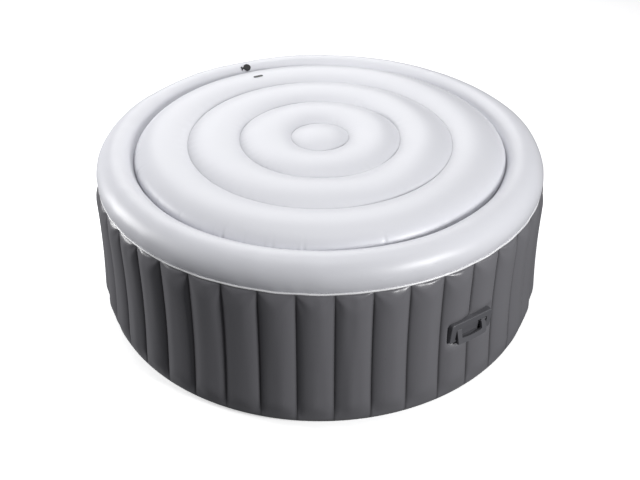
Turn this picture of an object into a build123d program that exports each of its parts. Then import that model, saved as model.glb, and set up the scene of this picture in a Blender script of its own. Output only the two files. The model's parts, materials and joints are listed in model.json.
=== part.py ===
from build123d import *
import os
from math import atan2, cos, degrees, radians, sin, sqrt

# Round inflatable hot tub with an inflatable lid, in millimetres.
# +Z is up, the origin is the centre of the underside, the two carrying handles are at +X and -X,
# and the three ports for the pump are round the back, at +Y.

# ---- driving dimensions ----
rib_count = 44
rib_pitch = 360 / rib_count
skin = 1.2                      # welded PVC sheet
web_thickness = 0.5

inner_radius = 785              # water side of the wall
wall_max_radius = 978           # widest line, low on the wall
foot_round = 40                 # the wall's foot is this round
baffle_vent_r, baffle_vent_heights, baffle_vent_radius = 865, (130, 300, 470), 28
wall_lean = 8                   # degrees, just above the foot; the wall is upright at the welt
welt_z, welt_radius = 615, 4

rim_centre_r, rim_centre_z = 864, 645   # the rim is a round tube on top of the wall
rim_tube_radius = 79
inner_seam_z = 608              # rim sheet meets the inner wall

lid_radius = 787.5              # at the weld between the lid's two sheets
lid_weld_z = 672
lid_ring_radii = (563, 343, 124)
lid_outer_crest_r = 672
groove_z, ring_crest_z = 711, 737
bottom_groove_z, bottom_crest_z = 640, 626

port_z = 190
port_bore_radius, port_tube_radius, port_flange_radius = 19, 24, 38
port_end = 1012                 # how far from the tub's axis the ports reach
panel_radius, panel_bottom, panel_top, panel_arc = 978, 128, 256, 44
air_bore_radius, air_tube_radius, air_flange_radius = 14, 18, 28
air_flange_start = 951          # it bears on the back of the outer wall
air_hose_z = 28

bubble_height, bubble_depth, bubble_corner, bubble_skin = 44, 40, 22, 1
bubble_hole_radius = 1.6

drain_z, drain_angle = 86, 18.5 * rib_pitch
drain_bore_radius, drain_tube_radius, drain_flange_radius = 9, 12, 21
drain_end = 1003

handle_z, handle_front = 332, 968
handle_roll = 4                 # the handles sit a little off level on the soft wall
bezel_width, bezel_height, bezel_corner, bezel_edge, bezel_depth = 212, 86, 12, 4, 34
pocket_width, pocket_top, pocket_bottom, pocket_depth = 160, 17, -33, 12
bail_width, bail_arm, bail_bar, bail_thickness, bail_bow = 148, 22, 20, 10, 4
bail_length = 58                # from the pivot to the grip's outer edge
bail_swing = 20                 # how far the bail hangs out at rest
pivot_up, pivot_in = 6, 6
pin_radius, pin_clearance = 2.5, 0.05
pin_in_bezel, pin_in_bail = 14, 20

valve_angle = 170.95            # the air valve, on the rim's inner shoulder
valve_tube_angle = 122          # measured round the rim's tube from its outer side
valve_flange_radius, valve_body_radius, valve_bore_radius = 34, 15, 11
valve_cap_radius, valve_hinge_x, valve_hinge_z = 18, 28, 5

lid_valve_angle = 100
lid_valve_radius, lid_valve_bore = 12, 9

# ---- worked out ----
water_ports = {"outlet": 90 + rib_pitch / 2, "return": 90 - rib_pitch / 2}
air_angle = 90 - 1.5 * rib_pitch
wall_foot_radius = wall_max_radius - foot_round
lean_sin, lean_cos = sin(radians(wall_lean)), cos(radians(wall_lean))
wall_curve = (welt_z - welt_radius - skin - foot_round * (1 + lean_sin)) / lean_sin
wall_top_radius = wall_foot_radius + foot_round * lean_cos - wall_curve * (1 - lean_cos)
rim_start = degrees(atan2(welt_z + welt_radius - rim_centre_z, wall_top_radius - rim_centre_r))


def wall_side(inset=0.0):
    """Draws the wall's side from its foot to the welt, moved in by inset, and gives its two ends."""
    low = JernArc((wall_foot_radius, skin + inset), (1, 0), foot_round - inset, 90 + wall_lean)
    high = JernArc(low @ 1, low % 1, wall_curve + inset, -wall_lean)
    return low @ 0, high @ 1


def close_inwards(ends, radius):
    """Closes the wall's side round to this smaller radius."""
    Polyline(ends[1], (radius, ends[1].Y), (radius, ends[0].Y), ends[0])


def on_rim(tube_angle, offset=0.0):
    """A point of the rim's round section, as radius and height."""
    reach = rim_tube_radius + offset
    return rim_centre_r + reach * cos(radians(tube_angle)), rim_centre_z + reach * sin(radians(tube_angle))


def section_plane(angle, height=0.0):
    """Local x runs outwards from the tub's axis, local y is up."""
    a = radians(angle)
    return Plane(origin=(0, 0, height), x_dir=(cos(a), sin(a), 0), z_dir=(sin(a), -cos(a), 0))


def facing_plane(angle, height, distance):
    """A plane that faces outwards, at this distance from the tub's axis."""
    a = radians(angle)
    return Plane(origin=(distance * cos(a), distance * sin(a), height), z_dir=(cos(a), sin(a), 0))


def block(x0, x1, y0, y1):
    """Adds the rectangle between these limits to the sketch in hand."""
    with Locations(((x0 + x1) / 2, (y0 + y1) / 2)):
        Rectangle(x1 - x0, y1 - y0)


def bore(angle, height, radius, start, end):
    """Cuts a radial round hole through the part in hand."""
    with BuildSketch(facing_plane(angle, height, start)) as mouth:
        Circle(radius)
    extrude(mouth.sketch, amount=end - start, mode=Mode.SUBTRACT)


def save(piece, name):
    piece.part.label = name
    export_step(piece.part, "parts/" + name + ".step")


def save_ring(name, *blocks):
    """A sheet, web or tape turned about the tub's axis: each block is two radii and two heights."""
    with BuildPart() as piece:
        with BuildSketch(Plane.XZ):
            for limits in blocks:
                block(*limits)
        revolve(axis=Axis.Z)
    save(piece, name)


def turned(angle, height, *blocks):
    """A fitting turned about a radial line: each block is start, end, inner and outer radius."""
    with BuildPart() as piece:
        with BuildSketch(section_plane(angle, height)):
            for limits in blocks:
                block(*limits)
        a = radians(angle)
        revolve(axis=Axis((0, 0, height), (cos(a), sin(a), 0)))
    return piece


def save_nut(name, angle, height, start, length, hole_radius, outer_radius):
    with BuildPart() as nut:
        with BuildSketch(facing_plane(angle, height, start)):
            RegularPolygon(outer_radius, 8)
            Circle(hole_radius, mode=Mode.SUBTRACT)
        extrude(amount=length)
        chamfer(nut.faces().sort_by(SortBy.DISTANCE)[-1].outer_wire().edges(), 1.5)
    save(nut, name)


os.makedirs("parts", exist_ok=True)

# ---- the air chamber's sheets ----
with BuildPart() as base_sheet:
    with BuildSketch():
        Circle(wall_foot_radius + 15)
    extrude(amount=skin)
save(base_sheet, "base_sheet")

with BuildPart() as outer_wall:
    with BuildSketch(Plane.XZ):
        with BuildLine():
            for outer_end, inner_end in zip(wall_side(), wall_side(skin)):
                Line(outer_end, inner_end)
        make_face()
    revolve(axis=Axis.Z)
    for angle in water_ports.values():
        bore(angle, port_z, port_tube_radius + 0.5, 850, 1000)
    bore(air_angle, port_z, air_tube_radius + 0.5, 850, 1000)
    bore(drain_angle, drain_z, drain_tube_radius + 0.5, 850, 1000)
save(outer_wall, "outer_wall")

valve_r, valve_z = on_rim(valve_tube_angle)
valve_a, valve_t = radians(valve_angle), radians(valve_tube_angle)
valve_plane = Plane(
    origin=(valve_r * cos(valve_a), valve_r * sin(valve_a), valve_z),
    x_dir=(-sin(valve_a), cos(valve_a), 0),
    z_dir=(cos(valve_t) * cos(valve_a), cos(valve_t) * sin(valve_a), sin(valve_t)),
)

with BuildPart() as rim_cover:
    with BuildSketch(Plane.XZ):
        with BuildLine():
            for reach in (rim_tube_radius, rim_tube_radius - skin):
                CenterArc((rim_centre_r, rim_centre_z), reach, rim_start, 180 - rim_start)
            Line(on_rim(rim_start), on_rim(rim_start, -skin))
            Polyline(
                on_rim(180),
                (inner_radius, inner_seam_z),
                (inner_radius + skin, inner_seam_z),
                on_rim(180, -skin),
            )
        make_face()
    revolve(axis=Axis.Z)
    with BuildSketch(valve_plane.offset(-20)):
        Circle(valve_body_radius + 0.5)
    extrude(amount=40, mode=Mode.SUBTRACT)
save(rim_cover, "rim_cover")

with BuildPart() as inner_wall:
    with BuildSketch(Plane.XZ):
        block(inner_radius, inner_radius + skin, skin, inner_seam_z)
    revolve(axis=Axis.Z)
    for angle in water_ports.values():
        bore(angle, port_z, port_tube_radius + 0.5, 700, 900)
    bore(air_angle, air_hose_z, air_bore_radius + 0.5, 700, 900)
    bore(drain_angle, drain_z, drain_tube_radius + 0.5, 700, 900)
save(inner_wall, "inner_wall")

with BuildPart() as wall_baffles:
    with BuildSketch(Plane.XZ):
        with BuildLine():
            close_inwards(wall_side(2.5), inner_radius + 2)
        make_face()
        with Locations(*((baffle_vent_r, z) for z in baffle_vent_heights)):
            Circle(baffle_vent_radius, mode=Mode.SUBTRACT)
    extrude(amount=web_thickness / 2, both=True)
    baffle = wall_baffles.part
    with PolarLocations(0, rib_count - 1, start_angle=rib_pitch, angular_range=360 - rib_pitch):
        add(baffle)
save(wall_baffles, "wall_baffles")

with BuildPart() as rim_welt:
    with BuildSketch(Plane.XZ):
        with Locations((wall_top_radius + 0.6, welt_z)):
            Circle(welt_radius - 0.1)
    revolve(axis=Axis.Z)
save(rim_welt, "rim_welt")

save_ring("inner_seam_tape", (inner_radius - 0.8, inner_radius, inner_seam_z - 15, inner_seam_z + 15))
save_ring("floor_seam_tape", (inner_radius + 2, inner_radius + 32, skin, skin + 0.8))

# ---- bubble system ----
with BuildPart() as bubble_channel:
    with BuildSketch(Plane.XZ):
        for inset, mode in ((0, Mode.ADD), (bubble_skin, Mode.SUBTRACT)):
            back, front = inner_radius - 1 - inset, inner_radius - bubble_depth + inset
            low, high = skin + inset, skin + bubble_height - inset
            corner = bubble_corner - inset
            with BuildLine():
                Polyline(
                    (front + corner, high), (back, high), (back, low), (front, low), (front, high - corner)
                )
                RadiusArc((front, high - corner), (front + corner, high), corner)
            make_face(mode=mode)
    revolve(axis=Axis.Z)
    with BuildSketch(Plane.XY.offset(skin + bubble_height / 2)):
        with PolarLocations(inner_radius - 10, 2 * rib_count):
            Circle(bubble_hole_radius)
    extrude(amount=bubble_height, mode=Mode.SUBTRACT)
    bore(air_angle, air_hose_z, air_bore_radius + 0.5, 772, 800)
save(bubble_channel, "bubble_channel")

with BuildPart() as air_feed_hose:
    with BuildLine(section_plane(air_angle)):
        route = FilletPolyline((936, port_z), (868, port_z), (868, air_hose_z), (772, air_hose_z), radius=50)
    with BuildSketch(Plane(origin=route @ 0, z_dir=route % 0)):
        Circle(air_bore_radius - 0.2)
        Circle(air_bore_radius - 2.2, mode=Mode.SUBTRACT)
    sweep(path=route)
save(air_feed_hose, "air_feed_hose")

# ---- ports for the pump ----
with BuildPart() as port_panel:
    panel_start = air_angle - (panel_arc - 2 * rib_pitch) / 2
    with BuildSketch(section_plane(panel_start)):
        block(900, panel_radius, panel_bottom, panel_top)
        with BuildLine():
            close_inwards(wall_side(), 600)
        make_face(mode=Mode.SUBTRACT)
    revolve(axis=Axis.Z, revolution_arc=panel_arc)
    for angle in water_ports.values():
        bore(angle, port_z, port_tube_radius + 0.1, 900, 1000)
    bore(air_angle, port_z, air_tube_radius + 0.1, 900, 1000)
save(port_panel, "port_panel")


def flange_gap(radius, flange):
    """How far a flat flange stands off a round wall of this radius."""
    return radius - sqrt(radius**2 - flange**2)


inner_face = inner_radius - flange_gap(inner_radius, port_flange_radius)
gasket, flange, nut_length = 3, 4, 9.5
for port_name, angle in water_ports.items():
    tube, seal = port_tube_radius, port_flange_radius - 2
    inner_flange = inner_face - gasket - flange
    outer_seat = panel_radius + 0.05
    spigot_start = outer_seat + gasket + nut_length + 0.5
    fitting = turned(
        angle, port_z,
        (inner_flange, inner_flange + flange, port_bore_radius, port_flange_radius),
        (inner_flange, spigot_start, port_bore_radius, tube),
        (spigot_start, port_end, port_bore_radius, tube - 1),
    )
    save(fitting, port_name + "_port_fitting")
    gaskets = turned(
        angle, port_z,
        (inner_face - gasket, inner_face, tube + 0.05, seal),
        (outer_seat, outer_seat + gasket, tube + 0.05, seal),
    )
    save(gaskets, port_name + "_port_gaskets")
    save_nut(
        port_name + "_port_nut", angle, port_z, outer_seat + gasket, nut_length, tube + 0.05, seal
    )
    screen_face = inner_flange - 17
    with BuildPart() as screen:
        add(turned(
            angle, port_z,
            (screen_face, inner_flange + 2, port_flange_radius + 0.5, port_flange_radius + 2.5),
            (screen_face - 2, screen_face, 0, port_flange_radius + 2.5),
        ).part)
        with BuildSketch(facing_plane(angle, port_z, screen_face - 3)):
            for ring_radius, hole_count in ((9, 6), (19, 12), (29, 18)):
                with PolarLocations(ring_radius, hole_count):
                    Circle(3.2)
        extrude(amount=4, mode=Mode.SUBTRACT)
    save(screen, port_name + "_debris_screen")

air_seat = panel_radius + 0.05
air_fitting = turned(
    air_angle, port_z,
    (926, port_end, air_bore_radius, air_tube_radius),
    (air_flange_start, air_flange_start + flange, air_bore_radius, air_flange_radius),
)
save(air_fitting, "air_port_fitting")
save(turned(air_angle, port_z, (air_seat, air_seat + gasket, air_tube_radius + 0.05, 26)), "air_port_gasket")
save_nut("air_port_nut", air_angle, port_z, air_seat + gasket, nut_length, air_tube_radius + 0.05, 27)

# The space behind the outer wall, which fittings that bear on the wall are cut back to.
with BuildPart() as wall_mass:
    with BuildSketch(Plane.XZ):
        with BuildLine():
            close_inwards(wall_side(), 850)
        make_face()
    revolve(axis=Axis.Z)

# ---- drain ----
drain_face = inner_radius - flange_gap(inner_radius, drain_flange_radius)
drain_seat = wall_max_radius - 2
drain_flange = drain_face - 6
save(turned(
    drain_angle, drain_z,
    (drain_flange, drain_flange + 3, drain_bore_radius, drain_flange_radius),
    (drain_flange, drain_end, drain_bore_radius, drain_tube_radius),
), "drain_fitting")
with BuildPart() as drain_gaskets:
    add(turned(
        drain_angle, drain_z,
        (drain_face - gasket, drain_face, drain_tube_radius + 0.05, 20),
        (drain_seat - 10, drain_seat + gasket, drain_tube_radius + 0.05, 20),
    ).part)
    add(wall_mass.part, mode=Mode.SUBTRACT)
save(drain_gaskets, "drain_gaskets")
save_nut("drain_nut", drain_angle, drain_z, drain_seat + gasket, 7, drain_tube_radius + 0.05, 20)
save(turned(
    drain_angle, drain_z,
    (drain_seat + 11, drain_end + 5, drain_tube_radius + 0.4, 16),
    (drain_end + 2.5, drain_end + 5, 0, 16),
), "drain_cap")
save(turned(drain_angle, drain_z, (drain_end + 0.5, drain_end + 2.5, 0, 12)), "drain_cap_seal")
save(turned(
    drain_angle, drain_z,
    (drain_flange - 9, drain_flange - 5, 0, 4),
    (drain_flange - 5, drain_flange - 0.5, 0, 13),
    (drain_flange - 0.5, drain_flange + 18, 0, drain_bore_radius - 0.4),
), "drain_plug")

# ---- carrying handles ----
for side_name, side in (("right", 1), ("left", -1)):
    roll, swing = radians(handle_roll), radians(bail_swing)
    front = Plane(
        origin=(side * handle_front, 0, handle_z), x_dir=(0, side * cos(roll), -sin(roll)), z_dir=(side, 0, 0)
    )
    pivot = front.origin + front.y_dir * pivot_up - front.z_dir * pivot_in
    pivot_plane = Plane(origin=pivot, x_dir=front.z_dir, z_dir=front.x_dir)
    pocket_middle = (pocket_top + pocket_bottom) / 2
    with BuildPart() as bezel:
        with BuildSketch(front):
            RectangleRounded(bezel_width, bezel_height, bezel_corner)
        extrude(amount=-bezel_depth)
        fillet(bezel.edges().group_by(Axis((0, 0, 0), (side, 0, 0)))[-1], bezel_edge)
        with BuildSketch(front):
            with Locations((0, pocket_middle)):
                RectangleRounded(pocket_width, pocket_top - pocket_bottom, 8)
        extrude(amount=-pocket_depth, mode=Mode.SUBTRACT)
        with BuildSketch(pivot_plane):
            Circle(pin_radius)
        extrude(amount=pocket_width / 2 + pin_in_bezel, both=True, mode=Mode.SUBTRACT)
        add(wall_mass.part, mode=Mode.SUBTRACT)
    save(bezel, side_name + "_handle_bezel")

    with BuildPart() as pins:
        for end in (1, -1):
            with BuildSketch(pivot_plane.offset(end * (bail_width / 2 - pin_in_bail))):
                Circle(pin_radius)
            extrude(amount=end * (pocket_width / 2 + pin_in_bezel - bail_width / 2 + pin_in_bail))
    save(pins, side_name + "_handle_pins")

    bail_facing = front.z_dir * cos(swing) + front.y_dir * sin(swing)
    bail_plane = Plane(origin=pivot, x_dir=front.x_dir, z_dir=bail_facing)
    with BuildPart() as bail:
        with BuildSketch(bail_plane):
            for half, bottom, radius, mode in (
                (bail_width / 2, bail_length, 14, Mode.ADD),
                (bail_width / 2 - bail_arm, bail_length - bail_bar, 8, Mode.SUBTRACT),
            ):
                with BuildLine() as loop:
                    Polyline((-half, bail_bow - bottom), (-half, 0), (half, 0), (half, bail_bow - bottom))
                    ThreePointArc((-half, bail_bow - bottom), (0, -bottom), (half, bail_bow - bottom))
                face = make_face(mode=Mode.PRIVATE)
                corners = face.vertices().sort_by(Axis(bail_plane.origin, bail_plane.y_dir))[:2]
                add(face.faces()[0].fillet_2d(radius, corners), mode=mode)
        extrude(amount=bail_thickness / 2, both=True)
        for end in (1, -1):
            knuckle = pivot_plane.offset(end * (bail_width - bail_arm) / 2)
            with BuildSketch(knuckle):
                Circle(bail_thickness / 2)
            extrude(amount=bail_arm / 2, both=True)
        with BuildSketch(pivot_plane):
            Circle(pin_radius + pin_clearance)
        extrude(amount=bail_width, both=True, mode=Mode.SUBTRACT)
    save(bail, side_name + "_handle_bail")

# ---- air valve ----
with BuildPart() as air_valve_flange:
    with BuildSketch(section_plane(valve_angle - 4)):
        with BuildLine():
            for reach in (rim_tube_radius + 0.05, rim_tube_radius + 1.55):
                CenterArc((rim_centre_r, rim_centre_z), reach, valve_tube_angle - 35, 70)
            for end in (-35, 35):
                Line(on_rim(valve_tube_angle + end, 0.05), on_rim(valve_tube_angle + end, 1.55))
        make_face()
    revolve(axis=Axis.Z, revolution_arc=8)
    with BuildSketch(valve_plane.offset(-30)):
        Circle(valve_flange_radius)
        Circle(valve_body_radius + 0.1, mode=Mode.SUBTRACT)
    extrude(amount=60, mode=Mode.INTERSECT)
save(air_valve_flange, "air_valve_flange")


def on_valve(*blocks):
    """A piece turned about the air valve's axis: each block is two radii and two heights."""
    with BuildPart() as piece:
        with BuildSketch(Plane(origin=valve_plane.origin, x_dir=valve_plane.x_dir, z_dir=-valve_plane.y_dir)):
            for limits in blocks:
                block(*limits)
        revolve(axis=Axis(valve_plane.origin, valve_plane.z_dir))
    return piece


stem_radius, spider_top, spider_bottom = 3, -25, -28
with BuildPart() as air_valve_body:
    add(on_valve(
        (valve_bore_radius, valve_body_radius, spider_bottom, 4),
        (valve_bore_radius, valve_body_radius + 2.5, 1.8, 4),
        (stem_radius + 0.1, valve_bore_radius, spider_bottom, spider_top),
    ).part)
    with BuildSketch(valve_plane.offset(spider_bottom - 1)):
        with PolarLocations(7.2, 6):
            Circle(2.2)
    extrude(amount=5, mode=Mode.SUBTRACT)
save(air_valve_body, "air_valve_body")
save(on_valve((7.5, valve_bore_radius, -12, -9.5)), "air_valve_seat")
save(on_valve((0, stem_radius, -27, 1), (0, 9.6, -15, -12.4)), "air_valve_poppet")

with BuildPart() as air_valve_spring:
    with BuildLine():
        coil_foot = valve_plane.from_local_coords(Vector(0, 0, spider_top + 0.7))
        coil = Helix(pitch=2.8, height=8.4, radius=6.2, center=coil_foot, direction=valve_plane.z_dir)
    with BuildSketch(Plane(origin=coil @ 0, z_dir=coil % 0)):
        Circle(0.6)
    sweep(path=coil, is_frenet=True)
save(air_valve_spring, "air_valve_spring")

with BuildPart() as air_valve_hinge:
    with BuildSketch(valve_plane.offset(1.75)):
        with Locations((valve_hinge_x, 8), (valve_hinge_x, -8)):
            Rectangle(5, 3)
    extrude(amount=valve_hinge_z + 0.4)
    hinge_line = Plane(
        origin=valve_plane.from_local_coords(Vector(valve_hinge_x, 0, valve_hinge_z)), z_dir=valve_plane.y_dir
    )
    with BuildSketch(hinge_line):
        Circle(1.2)
    extrude(amount=9.5, both=True)
save(air_valve_hinge, "air_valve_hinge")

with BuildPart() as air_valve_cap:
    add(on_valve((0, valve_cap_radius, 4.6, 9), (0, valve_bore_radius - 0.5, 1.8, 4.6)).part)
    with BuildSketch(valve_plane.offset(valve_hinge_z - 0.3)):
        block(valve_cap_radius - 3, valve_hinge_x, -5, 5)
    extrude(amount=2.4)
    with BuildSketch(hinge_line):
        Circle(2.5)
    extrude(amount=5.5, both=True)
    with BuildSketch(hinge_line):
        Circle(1.25)
    extrude(amount=8, both=True, mode=Mode.SUBTRACT)
save(air_valve_cap, "air_valve_cap")

# ---- lid ----
def ring_arcs(radii, edge_z, crest_z):
    """Arcs that swell between grooves of these radii, ending in a dome over the tub's axis."""
    for outer_r, inner_r in zip(radii, radii[1:]):
        ThreePointArc((outer_r, edge_z), ((outer_r + inner_r) / 2, crest_z), (inner_r, edge_z))
    dome, rise = radii[-1], crest_z - edge_z
    ball = (dome**2 + rise**2) / (2 * abs(rise))
    drop = ball - sqrt(ball**2 - dome**2 / 4)
    middle_z = crest_z - drop if rise > 0 else crest_z + drop
    ThreePointArc((dome, edge_z), (dome / 2, middle_z), (0, crest_z))


def lid_sheet(name, side, edge_z, crest_z):
    """One of the lid's two sheets: side is 1 for the upper one and -1 for the lower one."""
    seam_z = lid_weld_z + side * 0.2
    knee_in = 4 if side > 0 else 9
    with BuildPart() as sheet:
        with BuildSketch(Plane.XZ):
            with BuildLine():
                ends = []
                for inset in (0, skin):
                    down = side * inset
                    shoulder = (lid_radius - 18 - inset * 0.6, seam_z + side * 34 - down * 0.8)
                    knee = (lid_radius - knee_in - inset * 0.9, seam_z + side * 20 - down * 0.4)
                    edge = ThreePointArc((lid_radius - inset, seam_z), knee, shoulder)
                    crest, groove = (lid_outer_crest_r, crest_z - down), (lid_ring_radii[0], edge_z - down)
                    ThreePointArc(shoulder, crest, groove)
                    ring_arcs(lid_ring_radii, edge_z - down, crest_z - down)
                    ends.append(edge @ 0)
                Line(*ends)
                Line((0, crest_z), (0, crest_z - side * skin))
            make_face()
        revolve(axis=Axis.Z)
        if side < 0:
            with BuildSketch(Plane.XY.offset(crest_z - 10)):
                with Locations(lid_valve_spot):
                    Circle(lid_valve_radius + 0.3)
            extrude(amount=40, mode=Mode.SUBTRACT)
    save(sheet, name)


lid_valve_a = radians(lid_valve_angle)
lid_valve_spot = (lid_outer_crest_r * cos(lid_valve_a), lid_outer_crest_r * sin(lid_valve_a))
lid_sheet("lid_top_sheet", 1, groove_z, ring_crest_z)
lid_sheet("lid_bottom_sheet", -1, bottom_groove_z, bottom_crest_z)
save_ring("lid_ring_webs", *(
    (r - web_thickness / 2, r + web_thickness / 2, bottom_groove_z + skin + 0.5, groove_z - skin - 0.5)
    for r in lid_ring_radii
))


def at_lid_valve(*blocks):
    """A piece turned about the lid valve's axis: each block is two radii and two heights."""
    with BuildPart() as piece:
        with BuildSketch(Plane(origin=(*lid_valve_spot, 0), x_dir=(1, 0, 0), z_dir=(0, -1, 0))):
            for limits in blocks:
                block(*limits)
        revolve(axis=Axis((*lid_valve_spot, 0), (0, 0, 1)))
    return piece


valve_foot = bottom_crest_z - 0.1
save(at_lid_valve(
    (lid_valve_bore, lid_valve_radius, valve_foot - 2, valve_foot + 24),
    (lid_valve_radius, 2 * lid_valve_radius, valve_foot - 2, valve_foot),
), "lid_valve_body")
save(at_lid_valve(
    (0, lid_valve_bore - 0.4, valve_foot - 2.4, valve_foot + 14),
    (0, lid_valve_radius + 1, valve_foot - 6, valve_foot - 2.4),
), "lid_valve_plug")
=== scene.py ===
import json
import math

import bmesh
import bpy
import numpy as np
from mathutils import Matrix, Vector


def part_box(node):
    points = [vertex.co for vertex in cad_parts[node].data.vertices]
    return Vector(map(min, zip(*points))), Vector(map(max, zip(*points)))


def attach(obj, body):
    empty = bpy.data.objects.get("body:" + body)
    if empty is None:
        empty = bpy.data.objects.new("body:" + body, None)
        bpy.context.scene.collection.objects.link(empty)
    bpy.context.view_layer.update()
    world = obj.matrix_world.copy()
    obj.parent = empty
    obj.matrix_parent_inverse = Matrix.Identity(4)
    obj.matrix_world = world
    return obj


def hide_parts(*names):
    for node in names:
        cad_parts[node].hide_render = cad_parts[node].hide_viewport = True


# Round inflatable hot tub with its inflatable lid on. Metres, +Z up, handles at +X and -X.
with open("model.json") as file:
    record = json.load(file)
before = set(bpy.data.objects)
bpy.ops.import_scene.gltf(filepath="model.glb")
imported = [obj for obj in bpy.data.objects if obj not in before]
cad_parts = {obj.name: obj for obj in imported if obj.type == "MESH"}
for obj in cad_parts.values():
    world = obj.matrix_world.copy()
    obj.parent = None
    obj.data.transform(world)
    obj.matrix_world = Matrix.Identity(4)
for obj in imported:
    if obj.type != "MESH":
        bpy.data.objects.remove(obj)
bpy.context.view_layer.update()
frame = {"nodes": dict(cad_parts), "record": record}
nodes = frame["nodes"]
random = np.random.default_rng(7)
TURN = 2 * math.pi

# ---- sizes, from the frame ----
RIBS = 44
PITCH = TURN / RIBS
COLUMNS = 12 * RIBS             # of the rim, the welt and the lid
wall_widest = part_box("outer_wall")[1].x
wall_top_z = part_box("outer_wall")[1].z
foot_round = 0.040
foot_r = wall_widest - foot_round
foot_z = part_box("outer_wall")[0].z + foot_round
wall_lean = math.radians(8)
rim_tube = 0.079
rim_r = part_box("rim_cover")[1].x - rim_tube
rim_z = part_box("rim_cover")[1].z - rim_tube
rim_foot_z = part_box("rim_cover")[0].z
liner_sheet = 0.0012
inner_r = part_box("inner_wall")[1].x - liner_sheet
lid_edge_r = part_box("lid_top_sheet")[1].x
lid_edge_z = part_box("lid_top_sheet")[0].z - 0.0002
lid_top_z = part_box("lid_top_sheet")[1].z
lid_bottom_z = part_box("lid_bottom_sheet")[0].z
lid_grooves = (0.563, 0.343, 0.124)
lid_crest_r = 0.672
groove_depth = 0.026            # of the rings above the top's grooves
bottom_groove = 0.014
ring_roundness = 0.85
rib_depth = 0.023               # how far a rib bulges beyond its two seams
wall_sheet = 0.0014
rim_sheet = 0.004               # drawn thicker than the real sheet
seam_inset = 0.0015
foot_flat = 0.035               # the ribs start this far up the section
floor_clearance = 0.0005


# ---- small helpers ----
def smooth(x):
    x = np.clip(x, 0, 1)
    return x * x * (3 - 2 * x)


def pillow(distance, reach):
    """Rises from 0 at an edge to 1 at this reach from it, steeply at first, as a blown-up end does."""
    return np.sqrt(1 - (1 - np.clip(distance / reach, 0, 1)) ** 2)


def ripple(angle, lowest, highest, count=9):
    """Uneven waves round the tub, about 1 high, with between these many waves to the turn."""
    total = 0 * angle
    for order in random.integers(lowest, highest + 1, count):
        total = total + np.cos(order * angle + random.uniform(0, TURN))
    return total / math.sqrt(count / 2)


def apart(angle, place):
    """How far round the tub this angle is from a place, from minus to plus half a turn."""
    return (angle - place + math.pi) % TURN - math.pi


def creases(angle, places, width):
    """Narrow folds of uneven depth at these places round the tub."""
    total = 0 * angle
    for place in places:
        total = total + random.uniform(0.25, 1.0) * np.exp(-((apart(angle, place) / width) ** 2))
    return total


def clear_of(across_m, up_m, half_width, half_height, fade=0.03):
    """1 inside a fitting's outline on the sheet, falling to 0 a little way outside it."""
    past_side = np.maximum(np.abs(across_m) - half_width, 0)
    past_end = np.maximum(np.abs(up_m) - half_height, 0)
    return smooth(1 - np.hypot(past_side, past_end) / fade)


def middle(node):
    low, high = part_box(node)
    return (low + high) / 2


def angle_of(node):
    spot = middle(node)
    return math.atan2(spot.y, spot.x)


def around(angle, r, z):
    """Points at these radii and heights, with the last axis x, y, z."""
    angle, r, z = np.broadcast_arrays(angle, r, z)
    return np.stack([r * np.cos(angle), r * np.sin(angle), z], axis=-1)


def make_piece(name, points, material, body, weld_and_shade=None, closed=False, poles=()):
    """A piece from rows of points round the tub's axis; closed joins the last row to the first,
    and poles are the points that close the first and the last row."""
    rows, columns = points.shape[:2]
    verts = points.reshape(-1, 3)
    index = np.arange(rows * columns).reshape(rows, columns)
    low = index if closed else index[:-1]
    high = np.roll(index, -1, axis=0) if closed else index[1:]
    quads = np.stack([low, np.roll(low, -1, axis=1), np.roll(high, -1, axis=1), high], axis=-1)
    faces = quads.reshape(-1, 4).tolist()
    for row, pole in zip((index[0], index[-1]), poles):
        verts = np.vstack([verts, pole])
        faces += [[a, b, len(verts) - 1] for a, b in zip(row.tolist(), np.roll(row, -1).tolist())]
    mesh = bpy.data.meshes.new(name)
    mesh.from_pydata(verts.tolist(), [], faces)
    work = bmesh.new()
    work.from_mesh(mesh)
    bmesh.ops.recalc_face_normals(work, faces=work.faces)
    work.to_mesh(mesh)
    work.free()
    mesh.shade_smooth()
    # A mark that darkens the colour: the welds' own line, with painted shade in grooves, folds and
    # between parts.
    mark = mesh.attributes.new("weld_and_shade", "FLOAT", "POINT")
    values = np.zeros(len(verts), np.float32)
    if weld_and_shade is not None:
        values[: rows * columns] = np.broadcast_to(weld_and_shade, (rows, columns)).ravel()
    mark.data.foreach_set("value", values)
    piece = bpy.data.objects.new(name, mesh)
    bpy.context.scene.collection.objects.link(piece)
    mesh.materials.append(material)
    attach(piece, body)
    return piece


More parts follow.
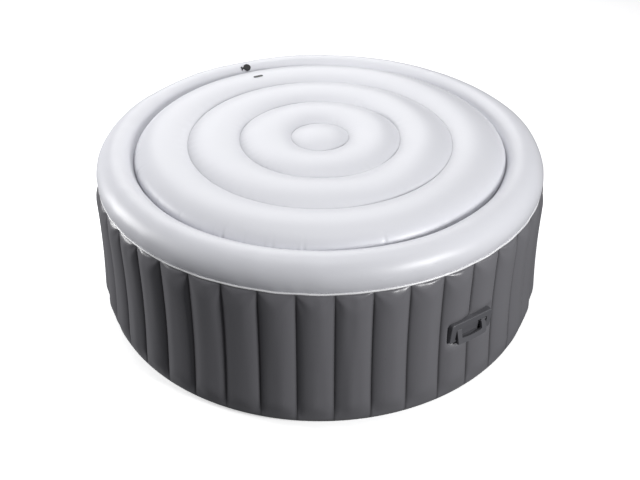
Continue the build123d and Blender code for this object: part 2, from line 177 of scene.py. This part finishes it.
# ---- materials ----
def material(
    name, colour, roughness, grain, grain_size, stain=0.04, weld_and_shade_depth=0.3, coat=0.0, sheen=0.0
):
    """Sheet or moulding with a fine grain, faint blotches, and darker welds that also carry painted shade
    in grooves, folds and between parts.
    """
    made = bpy.data.materials.new(name)
    made.use_nodes = True
    tree = made.node_tree
    shader = tree.nodes["Principled BSDF"]
    shader.inputs["Coat Weight"].default_value = coat
    shader.inputs["Coat Roughness"].default_value = 0.35
    shader.inputs["Sheen Weight"].default_value = sheen
    shader.inputs["Sheen Roughness"].default_value = 0.5

    def node(kind, **values):
        new = tree.nodes.new(kind)
        for key, value in values.items():
            if key in new.inputs:
                new.inputs[key].default_value = value
            else:
                setattr(new, key, value)
        return new

    place = node("ShaderNodeTexCoord").outputs["Object"]
    blotch = node("ShaderNodeTexNoise", Scale=5.0, Detail=6.0, Roughness=0.6)
    fine = node("ShaderNodeTexNoise", Scale=0.7 / grain_size, Detail=3.0, Roughness=0.55)
    cells = node("ShaderNodeTexVoronoi", Scale=0.5 / grain_size, feature="SMOOTH_F1")
    for texture in (blotch, fine, cells):
        tree.links.new(place, texture.inputs["Vector"])

    tone = node("ShaderNodeMapRange", **{"To Min": 1 - stain, "To Max": 1 + stain})
    tree.links.new(blotch.outputs["Fac"], tone.inputs["Value"])
    # Darkens the colour by the mark: the welds' own line, with painted shade in grooves, folds and
    # between parts.
    weld_and_shade_node = node("ShaderNodeAttribute", attribute_name="weld_and_shade")
    dark = node("ShaderNodeMapRange", **{"To Min": 1.0, "To Max": 1 - weld_and_shade_depth})
    tree.links.new(weld_and_shade_node.outputs["Fac"], dark.inputs["Value"])
    shade = node("ShaderNodeMath", operation="MULTIPLY")
    tree.links.new(tone.outputs["Result"], shade.inputs[0])
    tree.links.new(dark.outputs["Result"], shade.inputs[1])
    tint = node("ShaderNodeVectorMath", operation="SCALE")
    tint.inputs[0].default_value = colour
    tree.links.new(shade.outputs["Value"], tint.inputs["Scale"])
    tree.links.new(tint.outputs["Vector"], shader.inputs["Base Color"])

    gloss = node("ShaderNodeMapRange", **{"To Min": roughness - 0.05, "To Max": roughness + 0.07})
    tree.links.new(fine.outputs["Fac"], gloss.inputs["Value"])
    tree.links.new(gloss.outputs["Result"], shader.inputs["Roughness"])

    height = node("ShaderNodeMath", operation="MULTIPLY_ADD")
    tree.links.new(fine.outputs["Fac"], height.inputs[0])
    height.inputs[1].default_value = 0.6
    tree.links.new(cells.outputs["Distance"], height.inputs[2])
    bump = node("ShaderNodeBump", Strength=grain, Distance=grain_size * 0.25)
    tree.links.new(height.outputs["Value"], bump.inputs["Height"])
    tree.links.new(bump.outputs["Normal"], shader.inputs["Normal"])
    return made


grey_pvc = material("grey_pvc", (0.168, 0.166, 0.179), 0.30, 0.15, 0.0012, weld_and_shade_depth=0.55, sheen=0.05)
silver_pvc = material(
    "silver_pvc", (0.72, 0.725, 0.765), 0.38, 0.10, 0.0012, stain=0.015, weld_and_shade_depth=0.22
)
liner_pvc = material("liner_pvc", (0.60, 0.62, 0.66), 0.38, 0.12, 0.0012, weld_and_shade_depth=0.25)
web_pvc = material("web_pvc", (0.70, 0.70, 0.70), 0.6, 0.5, 0.0015)
welt_pvc = material("welt_pvc", (0.96, 0.96, 0.97), 0.30, 0.1, 0.0010, stain=0.01, coat=0.5)
hose_rubber = material("hose_rubber", (0.30, 0.30, 0.32), 0.55, 0.3, 0.0010)
grey_plastic = material("grey_plastic", (0.105, 0.105, 0.115), 0.42, 0.35, 0.0006, coat=0.1)
black_plastic = material("black_plastic", (0.012, 0.012, 0.013), 0.38, 0.3, 0.0005)
light_plastic = material("light_plastic", (0.58, 0.58, 0.60), 0.40, 0.3, 0.0005)
seal_rubber = material("seal_rubber", (0.03, 0.03, 0.03), 0.65, 0.4, 0.0006)
steel = material("steel", (0.60, 0.60, 0.61), 0.28, 0.15, 0.0003)
steel.node_tree.nodes["Principled BSDF"].inputs["Metallic"].default_value = 1.0
label_film = material("label_film", (0.035, 0.035, 0.038), 0.45, 0.1, 0.0008)

finishes = {
    "pvc_grey": grey_pvc,
    "pvc_silver": silver_pvc,
    "pvc_liner": liner_pvc,
    "pvc_web": web_pvc,
    "pvc_welt": welt_pvc,
    "hose": hose_rubber,
    "plastic_grey": grey_plastic,
    "plastic_black": black_plastic,
    "plastic_light": light_plastic,
    "rubber_seal": seal_rubber,
    "spring_steel": steel,
    "pin_steel": steel,
}
for entry in frame["record"]["subparts"]:
    for slot in nodes[entry["node"]].material_slots:
        slot.material = finishes[entry["material_slot"]]

# ---- outer wall ----
PER_RIB = 18
across = np.sin(np.linspace(-1, 1, PER_RIB + 1)[:-1] * math.pi / 2)      # -1 and 1 are a rib's seams
wall_angle = ((np.arange(RIBS)[:, None] + (1 + across) / 2) * PITCH).ravel()
rib_u = np.tile(across, RIBS)
rib_no = np.repeat(np.arange(RIBS), PER_RIB)

# The wall's section, from under the foot to the welt: radius, height, and the way it faces.
foot_turn = np.concatenate([[-math.pi / 2], np.linspace(math.radians(-80), wall_lean, 15)])
curve_length = (wall_top_z - foot_z - foot_round * math.sin(wall_lean)) / math.sin(wall_lean)
climb = (1 - np.linspace(0, 1, 40)[1:]) ** 1.35 * wall_lean              # closer rows towards the welt
low_r, low_z = foot_r + foot_round * np.cos(foot_turn), foot_z + foot_round * np.sin(foot_turn)
top_r = low_r[-1] - curve_length * (1 - math.cos(wall_lean))
high_r = top_r + curve_length * (1 - np.cos(climb))
high_z = wall_top_z - curve_length * np.sin(climb)
section_r = np.concatenate([low_r, high_r]) - seam_inset
section_z = np.concatenate([low_z, high_z])
facing = np.concatenate([foot_turn, climb])
run = np.concatenate([[0], np.cumsum(np.hypot(np.diff(section_r), np.diff(section_z)))])
below_top = (run[-1] - run)[:, None]
above_foot = np.maximum(run - run[1], 0)[:, None]


wall_hold = np.zeros((len(run), len(wall_angle)))
for side in ("right", "left"):
    spot = middle(side + "_handle_bezel")
    along = apart(wall_angle, angle_of(side + "_handle_bezel")) * wall_widest
    wall_hold = np.maximum(wall_hold, clear_of(along, section_z[:, None] - spot.z, 0.098, 0.037, 0.022))
panel_low, panel_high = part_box("port_panel")
panel_half = 0.5 * math.radians(44) * wall_widest
panel_place = (angle_of("outlet_port_nut") + angle_of("air_port_nut")) / 2
panel_along = apart(wall_angle, panel_place) * wall_widest
panel_z = (panel_low.z + panel_high.z) / 2
panel_tall = (panel_high.z - panel_low.z) / 2
wall_hold = np.maximum(
    wall_hold, clear_of(panel_along, section_z[:, None] - panel_z, panel_half, panel_tall, 0.025)
)
drain_along = apart(wall_angle, angle_of("drain_nut")) * wall_widest
wall_hold = np.maximum(
    wall_hold, clear_of(drain_along, section_z[:, None] - middle("drain_nut").z, 0.014, 0.014, 0.045)
)

rib_fullness = random.uniform(0.93, 1.06, RIBS)[rib_no]
rib_lean = random.uniform(-0.05, 0.05, RIBS)[rib_no]
bow = (1 - rib_u**2) ** 0.8 * (1 + rib_lean * rib_u)
ends = pillow(below_top, 0.08) * smooth((above_foot - foot_flat) / 0.10)
bulge = rib_depth * rib_fullness * bow * ends

# Folds fan out from the top and bottom of each seam, and short gathers hang below the welt.
half_rib = PITCH * wall_widest / 2
from_seam = (1 - np.abs(rib_u)) * half_rib
for distance, strength, reach in ((below_top, 0.0036, 0.045), (above_foot - 0.055, 0.0028, 0.05)):
    distance = np.maximum(distance, 0)
    fan = np.arctan2(distance, from_seam + 0.004)
    near = np.exp(-np.hypot(distance, from_seam) / reach)
    phase = random.uniform(0, TURN, 2 * RIBS)[2 * rib_no + (rib_u > 0)]
    envelope = smooth(from_seam / 0.012) * smooth(distance / 0.008)
    bulge = bulge + strength * near * envelope * np.sin(7 * fan + phase)
gather_waves = random.uniform(2.2, 3.4, RIBS)[rib_no] * math.pi
gathers = np.sin(gather_waves * rib_u + random.uniform(0, TURN, RIBS)[rib_no])
under_welt = np.exp(-below_top / 0.022) * smooth(below_top / 0.006)
bulge = bulge + 0.0011 * gathers * (1 - rib_u**2) * under_welt
unevenness = ripple(wall_angle, 60, 150) * np.cos(7 * below_top + ripple(wall_angle, 3, 20))
bulge = bulge + 0.0005 * unevenness * ends * (1 - rib_u**2)
bulge = bulge * (1 - wall_hold)

outer = around(
    wall_angle,
    section_r[:, None] + bulge * np.cos(facing)[:, None],
    np.maximum(section_z[:, None] + bulge * np.sin(facing)[:, None], floor_clearance),
)
back_rows = np.linspace(len(run) - 1, 0, 14).astype(int)
back = around(
    wall_angle,
    (section_r - wall_sheet * np.cos(facing))[back_rows][:, None],
    (section_z - wall_sheet * np.sin(facing))[back_rows][:, None] + 0 * wall_angle,
)
# Darker along each seam: the weld's own line, with painted shade in the V between the ribs.
rib_seam_weld_and_shade = np.exp(-((from_seam / 0.0045) ** 2)) * smooth(above_foot / 0.03)
wall_weld_and_shade = np.vstack([rib_seam_weld_and_shade * np.ones_like(bulge), np.zeros((len(back_rows), len(wall_angle)))])
ribbed_wall = make_piece(
    "ribbed_wall", np.vstack([outer, back]), grey_pvc, "tub", wall_weld_and_shade, closed=True
)
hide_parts("outer_wall")

# ---- rim ----
turn_angle = np.linspace(0, TURN, COLUMNS, endpoint=False)
rib_wave = np.cos(RIBS * turn_angle)                                     # 1 at the ribs' seams
rim_start = math.atan2(wall_top_z + 0.006 - rim_z, top_r - rim_r)
rim_turn = np.linspace(rim_start, math.pi, 52)[:, None]
from_welt = (rim_turn - rim_start) * rim_tube
valve_turn = math.radians(122)                                           # the valve's place on the tube
valve_near = clear_of(
    apart(turn_angle, angle_of("air_valve_flange")) * rim_r,
    (rim_turn - valve_turn) * rim_tube,
    0.036, 0.036,
)
slack = 0.0007 * ripple(turn_angle, 3, 14) + 0.0004 * ripple(turn_angle, 20, 60) * np.cos(2 * rim_turn)
slack = slack * smooth(from_welt / 0.05) * smooth((math.pi - rim_turn) / 0.5)
above_welt = np.exp(-from_welt / 0.02) * smooth(from_welt / 0.004)
slack = slack + 0.0006 * ripple(turn_angle, 70, 130) * above_welt
slack = slack - 0.0005 * rib_wave * np.exp(-from_welt / 0.03)
slack = slack * (1 - valve_near)
rim_out = around(
    turn_angle,
    rim_r + (rim_tube + slack) * np.cos(rim_turn),
    rim_z + (rim_tube + slack) * np.sin(rim_turn),
)
skirt_z = np.linspace(rim_z, rim_foot_z, 8)[1:, None]
skirt_pucker = 0.0022 * ripple(turn_angle, 60, 120) * smooth((skirt_z - rim_foot_z) / 0.012)
skirt_pucker = skirt_pucker * smooth((rim_z - 0.006 - skirt_z) / 0.02)
skirt = around(turn_angle, inner_r + 0.0006 - np.abs(skirt_pucker), skirt_z)
rim_back_turn = np.linspace(math.pi, rim_start, 16)[:, None]
rim_back = around(
    turn_angle,
    rim_r + (rim_tube - rim_sheet) * np.cos(rim_back_turn),
    rim_z + (rim_tube - rim_sheet) * np.sin(rim_back_turn),
)
skirt_back = around(turn_angle, inner_r + rim_sheet, np.array([[rim_foot_z]]))
rim_points = np.vstack([rim_out, skirt, skirt_back, rim_back])
# Darker just above the welt: the weld's own line, with painted shade where the tube tucks in to it.
rim_weld_and_shade = np.vstack([
    0.2 * np.exp(-from_welt / 0.004) + 0 * slack,
    np.zeros((len(rim_points) - len(rim_out), COLUMNS)),
])
rim = make_piece("inflated_rim", rim_points, silver_pvc, "tub", rim_weld_and_shade, closed=True)
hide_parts("rim_cover")

welt_turn = np.linspace(0, TURN, 12, endpoint=False)[:, None]
welt_low, welt_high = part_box("rim_welt")
welt_size = (welt_high.z - welt_low.z) / 2
welt_line = welt_high.x - welt_size - 0.0007 * rib_wave
welt_z = (welt_low.z + welt_high.z) / 2 + 0.0004 * ripple(turn_angle, 10, 40)
welt = make_piece(
    "white_welt",
    around(
        turn_angle,
        welt_line + welt_size * np.cos(welt_turn),
        welt_z + welt_size * np.sin(welt_turn),
    ),
    welt_pvc, "tub", closed=True,
)
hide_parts("rim_welt")

# ---- lid ----
# Short folds stand round its edge, and the columns are closer where they are.
CREASES = 64
crease_width = 0.0085
crease_places = np.sort(random.uniform(0, TURN, CREASES))
close_by = crease_width * np.array([-1.9, -1.2, -0.6, 0, 0.6, 1.2, 1.9])
lid_angle = np.concatenate([
    np.linspace(0, TURN, 8 * RIBS, endpoint=False), (crease_places[:, None] + close_by).ravel() % TURN
])
lid_angle = np.sort(lid_angle)
lid_angle = lid_angle[np.diff(lid_angle, append=TURN + lid_angle[0]) > 0.002]


def ring_rows(count):
    """Places across a ring, from 1 at its outer groove to -1 at its inner one, closer at the grooves."""
    return np.sin(np.linspace(math.pi / 2, -math.pi / 2, count))


def lid_section(side):
    """Radius and height over one face of the lid, from its edge in, and how near a groove each row is."""
    crest_z, rise = (lid_top_z, groove_depth) if side > 0 else (lid_bottom_z, bottom_groove)
    rows = []

    def ring_row(r, u):
        """A row of a ring between two grooves, with u at -1 and 1 in them and 0 on the ring's crest."""
        rows.append((r, crest_z - side * rise * (1 - (1 - u**2) ** ring_roundness), abs(u)))

    for turn in np.linspace(0, math.pi / 2, 20)[:-1]:
        v = math.cos(turn)
        rows.append((
            lid_crest_r + v * (lid_edge_r - lid_crest_r),
            lid_edge_z + (crest_z - lid_edge_z) * math.sin(turn),
            0.0,
        ))
    half = lid_crest_r - lid_grooves[0]
    for u in np.sin(np.linspace(0, math.pi / 2, 14)):
        ring_row(lid_crest_r - u * half, u)
    for outer_g, inner_g in zip(lid_grooves, lid_grooves[1:]):
        for u in ring_rows(24)[1:]:
            ring_row((outer_g + inner_g) / 2 + u * (outer_g - inner_g) / 2, u)
    for u in np.sin(np.linspace(math.pi / 2, 0, 14))[1:-1]:
        ring_row(u * lid_grooves[-1], u)
    return np.array(rows)


def lid_face(side):
    """The lid's upper or lower face as points, with its slack, and a mark that darkens its grooves'
    welds, with painted shade in the grooves, in the folds and along its edge against the rim.
    """
    r, z, near = (column[:, None] for column in lid_section(side).T)
    from_edge = np.hypot(lid_edge_r - r, z - lid_edge_z)
    fold = creases(lid_angle, crease_places, crease_width) * np.exp(-((from_edge / 0.038) ** 2))
    fold = 0.0034 * fold * smooth(from_edge / 0.006)
    swell = 0.0016 * ripple(lid_angle, 2, 7) * np.cos(r * 9) * smooth(from_edge / 0.08)
    fine = 0.0005 * ripple(lid_angle, 40, 80) * near**4 * smooth(from_edge / 0.08)
    inner_fade = smooth(r / 0.2)
    shift = (swell + fine) * inner_fade * smooth((1 - near) / 0.08) - fold
    points = around(lid_angle, r - 0.35 * fold, z + side * shift)
    # Darker in the grooves, from the welds' own line and painted shade; darker in the folds and along the
    # edge against the rim, painted shade.
    weld_and_shade = smooth((near - 0.985) / 0.015) + 0.4 * smooth(fold / 0.0035)
    weld_and_shade = np.maximum(weld_and_shade, np.exp(-from_edge / 0.004))
    return points, np.clip(weld_and_shade + 0 * lid_angle, 0, 1)


top_points, top_weld_and_shade = lid_face(1)
bottom_points, bottom_weld_and_shade = lid_face(-1)
lid = make_piece(
    "inflated_lid",
    np.vstack([top_points[::-1], bottom_points[1:]]),
    silver_pvc, "lid",
    np.vstack([top_weld_and_shade[::-1], bottom_weld_and_shade[1:]]),
    poles=[(0, 0, lid_top_z), (0, 0, lid_bottom_z)],
)
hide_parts("lid_top_sheet", "lid_bottom_sheet")


def lid_height(r):
    section = lid_section(1)[::-1]
    return np.interp(r, section[:, 0], section[:, 1])


# ---- plain label on the lid ----
label_angle = angle_of("air_valve_cap") + math.radians(0.4)
label_r, label_half_width, label_half_length, label_thick = 0.650, 0.008, 0.024, 0.0004
label_gap = 0.0011              # clears the lid's slack under it
ring = np.linspace(0, TURN, 48, endpoint=False)
corner = 4                      # higher is squarer
label_rows = []
for inset, lift in ((0, 0), (0, label_thick), (0.35, label_thick), (0.7, label_thick)):
    grow = 1 - inset
    c, s = np.cos(ring), np.sin(ring)
    scale = grow / (np.abs(c) ** corner + np.abs(s) ** corner) ** (1 / corner)
    u, v = label_half_length * c * scale, label_half_width * s * scale
    label_z = lid_height(label_r + v) + label_gap + lift
    label_rows.append((label_r + v, label_angle + u / label_r, label_z))
label_points = np.array([around(a, r, z) for r, a, z in label_rows])
make_piece(
    "plain_label", label_points, label_film, "lid",
    poles=[
        around(label_angle, label_r, lid_height(label_r) + label_gap),
        around(label_angle, label_r, lid_height(label_r) + label_gap + label_thick),
    ],
)

# ---- water side of the wall, and the floor ----
liner_columns = np.sin(np.linspace(-1, 1, 11)[:-1] * math.pi / 2)
liner_angle = ((np.arange(RIBS)[:, None] + (1 + liner_columns) / 2) * PITCH).ravel()
liner_u = np.tile(liner_columns, RIBS)
liner_z = np.linspace(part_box("inner_wall")[0].z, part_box("inner_wall")[1].z, 46)[:, None]
liner_hold = 0 * liner_z * liner_angle
for node, size in (("outlet_debris_screen", 0.05), ("return_debris_screen", 0.05), ("drain_plug", 0.03)):
    along = apart(liner_angle, angle_of(node)) * inner_r
    liner_hold = np.maximum(liner_hold, clear_of(along, liner_z - middle(node).z, size, size, 0.05))
liner_bulge = 0.009 * (1 - liner_u**2) ** 0.8
liner_bulge = liner_bulge * pillow(liner_z - 0.05, 0.07) * pillow(rim_foot_z - 0.02 - liner_z, 0.07)
liner_bulge = liner_bulge + 0.0006 * np.abs(ripple(liner_angle, 60, 120)) * pillow(liner_z - 0.05, 0.1)
liner_bulge = liner_bulge * (1 - liner_hold) * smooth((rim_foot_z - 0.015 - liner_z) / 0.01)
liner_front = around(liner_angle, inner_r - liner_bulge, liner_z)
liner_back = around(liner_angle, inner_r + liner_sheet, liner_z[::-5] + 0 * liner_angle)
# Darker along the liner's seams: the welds' own line, with painted shade in the dips between its bulges.
liner_weld_and_shade = np.exp(-(((1 - np.abs(liner_u)) * 0.056 / 0.003) ** 2)) * pillow(liner_z - 0.05, 0.05)
liner = make_piece(
    "inner_liner", np.vstack([liner_front, liner_back]), liner_pvc, "tub",
    np.vstack([liner_weld_and_shade, 0 * liner_z[::-5] * liner_angle]), closed=True,
)
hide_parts("inner_wall")

floor_low, floor_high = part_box("base_sheet")
floor_angle = np.linspace(0, TURN, 220, endpoint=False)
floor_r = np.concatenate([np.linspace(0.01, 0.76, 60), [0.80, floor_high.x]])[:, None]
floor_x, floor_y = floor_r * np.cos(floor_angle), floor_r * np.sin(floor_angle)
wrinkle = 0 * floor_x
for heading in random.uniform(0, math.pi, 7):
    bend = 0.5 * np.sin(5 * (floor_x * math.sin(heading) - floor_y * math.cos(heading)) + 4 * heading)
    along_heading = floor_x * math.cos(heading) + floor_y * math.sin(heading)
    wave = np.sin(random.uniform(14, 34) * along_heading + bend)
    wrinkle = wrinkle + 0.0011 * (1 - np.abs(wave)) ** 3
wrinkle = wrinkle * smooth((0.73 - floor_r) / 0.1)
floor_top = np.stack([floor_x, floor_y, floor_high.z + wrinkle], axis=-1)
floor_under = around(floor_angle, np.array([[floor_high.x], [0.6], [0.3]]), floor_low.z)
tub_floor = make_piece(
    "tub_floor", np.vstack([floor_top, floor_under]), liner_pvc, "tub",
    poles=[(0, 0, floor_high.z + float(wrinkle[0].mean())), (0, 0, floor_low.z)],
)
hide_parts("base_sheet")

# ---- floor, light and camera ----
def soft_light(name, place, target, size, power, colour=(1, 1, 1)):
    lamp = bpy.data.lights.new(name, "AREA")
    lamp.energy, lamp.size, lamp.color = power, size, colour
    lamp_object = bpy.data.objects.new(name, lamp)
    lamp_object.location = place
    lamp_object.rotation_euler = (Vector(target) - Vector(place)).to_track_quat("-Z", "Y").to_euler()
    bpy.context.scene.collection.objects.link(lamp_object)


# A round floor that curves up into its own backdrop far behind the tub.
flat_reach, backdrop_round = 9, 7
backdrop_turn = np.linspace(0, math.pi / 2, 16)[1:, None]
floor_rows = np.vstack([
    around(turn_angle, np.linspace(0.05, flat_reach, 16)[:, None], 0),
    around(
        turn_angle,
        flat_reach + backdrop_round * np.sin(backdrop_turn),
        backdrop_round - backdrop_round * np.cos(backdrop_turn),
    ),
])
studio = bpy.data.meshes.new("studio_floor")
studio_index = np.arange(len(floor_rows) * COLUMNS).reshape(-1, COLUMNS)
near_row, far_row = studio_index[:-1], studio_index[1:]
studio_quads = np.stack([
    near_row, far_row, np.roll(far_row, -1, axis=1), np.roll(near_row, -1, axis=1)
], axis=-1)
studio_faces = [studio_index[0].tolist()] + studio_quads.reshape(-1, 4).tolist()
studio.from_pydata(floor_rows.reshape(-1, 3).tolist(), [], studio_faces)
studio.shade_smooth()
studio_floor = bpy.data.objects.new("studio_floor", studio)
studio_floor.location.z = -0.0005
bpy.context.scene.collection.objects.link(studio_floor)
studio_white = material("studio_white", (0.95, 0.95, 0.95), 0.8, 0.0, 0.01, stain=0.005)
studio_white.node_tree.nodes["Principled BSDF"].inputs["Emission Color"].default_value = (1, 1, 1, 1)
studio_white.node_tree.nodes["Principled BSDF"].inputs["Emission Strength"].default_value = 0.55
studio.materials.append(studio_white)
studio_floor.visible_diffuse = False
studio_floor.visible_glossy = False

world = bpy.data.worlds.new("studio")
bpy.context.scene.world = world
world.use_nodes = True
world.node_tree.nodes["Background"].inputs["Color"].default_value = (0.94, 0.95, 1.0, 1)
world.node_tree.nodes["Background"].inputs["Strength"].default_value = 0.12
bpy.context.scene.view_settings.view_transform = "Standard"
middle_spot = Vector((0, 0, 0.4))
to_camera = Vector((0.8105, -0.5857, 0))
to_right = Vector((0.5857, 0.8105, 0))
up = Vector((0, 0, 1))
soft_light("key", up * 3.2 - to_camera * 3.6 - to_right * 0.6, middle_spot, 3.6, 116)
soft_light("overhead", up * 4.2, middle_spot, 2.6, 44)
soft_light("right", to_right * 3.0 + to_camera * 2.9 + up * 2.2, middle_spot, 0.9, 118)
soft_light("left", to_right * -3.8 - to_camera * 0.2 + up * 1.4, middle_spot, 1.6, 95)

camera = bpy.data.objects.new("camera", bpy.data.cameras.new("camera"))
bpy.context.scene.collection.objects.link(camera)
camera.data.sensor_width = 36
camera.data.lens = 42.70
camera.location = (2.351, -1.699, 2.2513)
camera.rotation_euler = (Vector((0, 0, 0.166)) - camera.location).to_track_quat("-Z", "Y").to_euler()
bpy.context.scene.camera = camera
